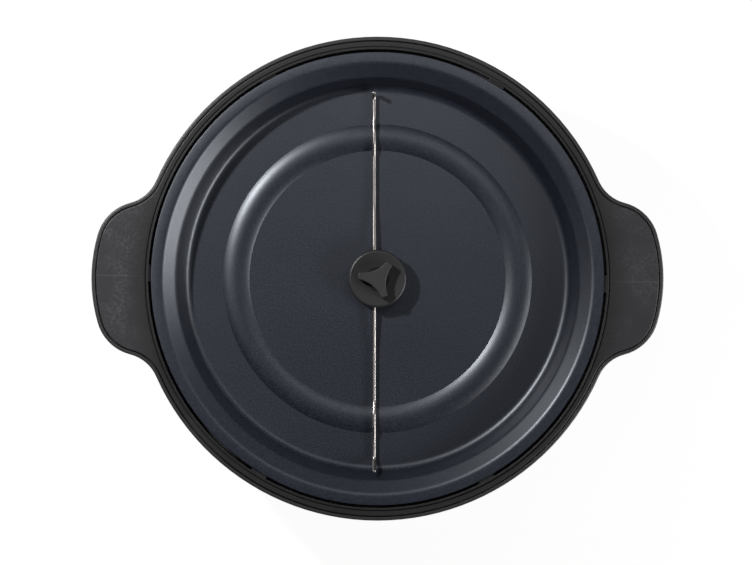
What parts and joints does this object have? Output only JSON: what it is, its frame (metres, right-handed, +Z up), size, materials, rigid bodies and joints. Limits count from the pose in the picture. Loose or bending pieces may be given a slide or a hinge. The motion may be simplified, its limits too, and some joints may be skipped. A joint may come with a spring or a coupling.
{
  "type": "electric stirring popcorn popper base",
  "caption": "Round popper base with ear handles, a non-stick heating pan and a motor-turned wire stirrer; the cover is off.",
  "frame": {"origin": "middle of the footprint on the plane the feet stand on", "axes": "+Z up along the stirrer's axis, +X through the right-hand handle, +Y to the back, where the cord entry is"},
  "size_m": [0.3392, 0.287, 0.092],
  "materials": {
    "housing": "moulded black thermoset, satin with a fine texture",
    "rim": "moulded black thermoset, satin, lightly scuffed",
    "pan_coating": "pressed aluminium under a dark blue-grey non-stick coating with fine sparkle",
    "hub": "moulded black plastic, satin",
    "wire": "bright drawn stainless wire",
    "shaft_steel": "turned steel",
    "spring_steel": "dark spring steel",
    "brass": "turned brass",
    "bush_metal": "sintered bronze",
    "zinc_plate": "zinc plated steel",
    "heater_sheath": "dull alloy sheath, darkened by heat",
    "shield": "bright aluminised sheet",
    "poles": "pressed motor steel",
    "nylon": "natural nylon",
    "coupling": "moulded black nylon",
    "winding": "enamelled copper wire under tape",
    "magnet": "ferrite",
    "phenolic": "brown phenolic",
    "fuse_case": "bright metal case",
    "block": "ivory plastic",
    "lead_sleeve": "white glass-braid sleeving",
    "base": "moulded black plastic, fine texture",
    "foot_rubber": "black rubber"
  },
  "bodies": {
    "housing": {"lower_housing": "housing", "top_rim": "rim", "heating_pan": "pan_coating", "rotor_pin": "shaft_steel", "gear_pins": "shaft_steel", "fuse_clip": "spring_steel", "heater_terminals": "brass", "earth_tag": "brass", "terminal_screws": "brass", "pan_bush": "bush_metal", "bush_washer": "zinc_plate", "bush_nut": "zinc_plate", "heater_clamps": "zinc_plate", "clamp_nuts": "zinc_plate", "shield_spacers": "zinc_plate", "upper_columns": "zinc_plate", "lower_columns": "zinc_plate", "motor_bracket": "zinc_plate", "motor_screws": "zinc_plate", "motor_nuts": "zinc_plate", "strap_nuts": "zinc_plate", "thermostat_strap": "zinc_plate", "block_screws": "zinc_plate", "base_screws": "zinc_plate", "column_screws": "zinc_plate", "rim_screws": "zinc_plate", "gear_plate": "zinc_plate", "motor_cover": "zinc_plate", "motor_can": "zinc_plate", "heater_tube": "heater_sheath", "heat_shield": "shield", "stator_poles": "poles", "coil_bobbin": "nylon", "gland_nut": "coupling", "cord_gland": "coupling", "motor_winding": "winding", "thermostat": "phenolic", "thermal_fuse": "fuse_case", "terminal_block": "block", "inner_leads": "lead_sleeve", "base_plate": "base", "rubber_feet": "foot_rubber"},
    "drive": {"output_gear": "nylon", "shaft_coupling": "coupling", "drive_shaft": "shaft_steel", "shaft_clip": "spring_steel"},
    "stirrer": {"stirrer_hub": "hub", "stirrer_wire": "wire"},
    "nut_washer": {"nut_washer": "zinc_plate"},
    "thumb_nut": {"thumb_nut": "hub", "thumb_nut_insert": "brass"},
    "second_gear": {"second_gear": "nylon"},
    "first_gear": {"first_gear": "nylon"},
    "rotor": {"rotor_magnet": "magnet", "rotor_pinion": "nylon"}
  },
  "joints": [
    {"name": "stirrer_spin", "type": "hinge", "parent": "housing", "child": "drive", "pos_m": [0, 0, 0.07], "axis": [0, 0, 1], "continuous": true},
    {"name": "stirrer_lift", "type": "slide", "parent": "drive", "child": "stirrer", "axis": [0, 0, 1], "range_m": [0, 0.03]},
    {"name": "nut_rise", "type": "slide", "parent": "stirrer", "child": "nut_washer", "axis": [0, 0, 1], "range_m": [0, 0.005]},
    {"name": "nut_turn", "type": "hinge", "parent": "nut_washer", "child": "thumb_nut", "pos_m": [0, 0, 0.0812], "axis": [0, 0, 1], "range_deg": [0, 1800]},
    {"name": "second_gear_spin", "type": "hinge", "parent": "housing", "child": "second_gear", "pos_m": [0.0057, 0.00987, 0.036], "axis": [0, 0, 1], "continuous": true},
    {"name": "first_gear_spin", "type": "hinge", "parent": "housing", "child": "first_gear", "pos_m": [0.0114, 0, 0.036], "axis": [0, 0, 1], "continuous": true},
    {"name": "rotor_spin", "type": "hinge", "parent": "housing", "child": "rotor", "pos_m": [0, 0, 0.026], "axis": [0, 0, 1], "continuous": true}
  ],
  "couplings": [
    {"joint": "second_gear_spin", "follows": "stirrer_spin", "ratio": -2.8},
    {"joint": "first_gear_spin", "follows": "stirrer_spin", "ratio": 7.84},
    {"joint": "rotor_spin", "follows": "stirrer_spin", "ratio": -21.952},
    {"joint": "nut_rise", "follows": "nut_turn", "m_per_rad": 0.00015915}
  ]
}
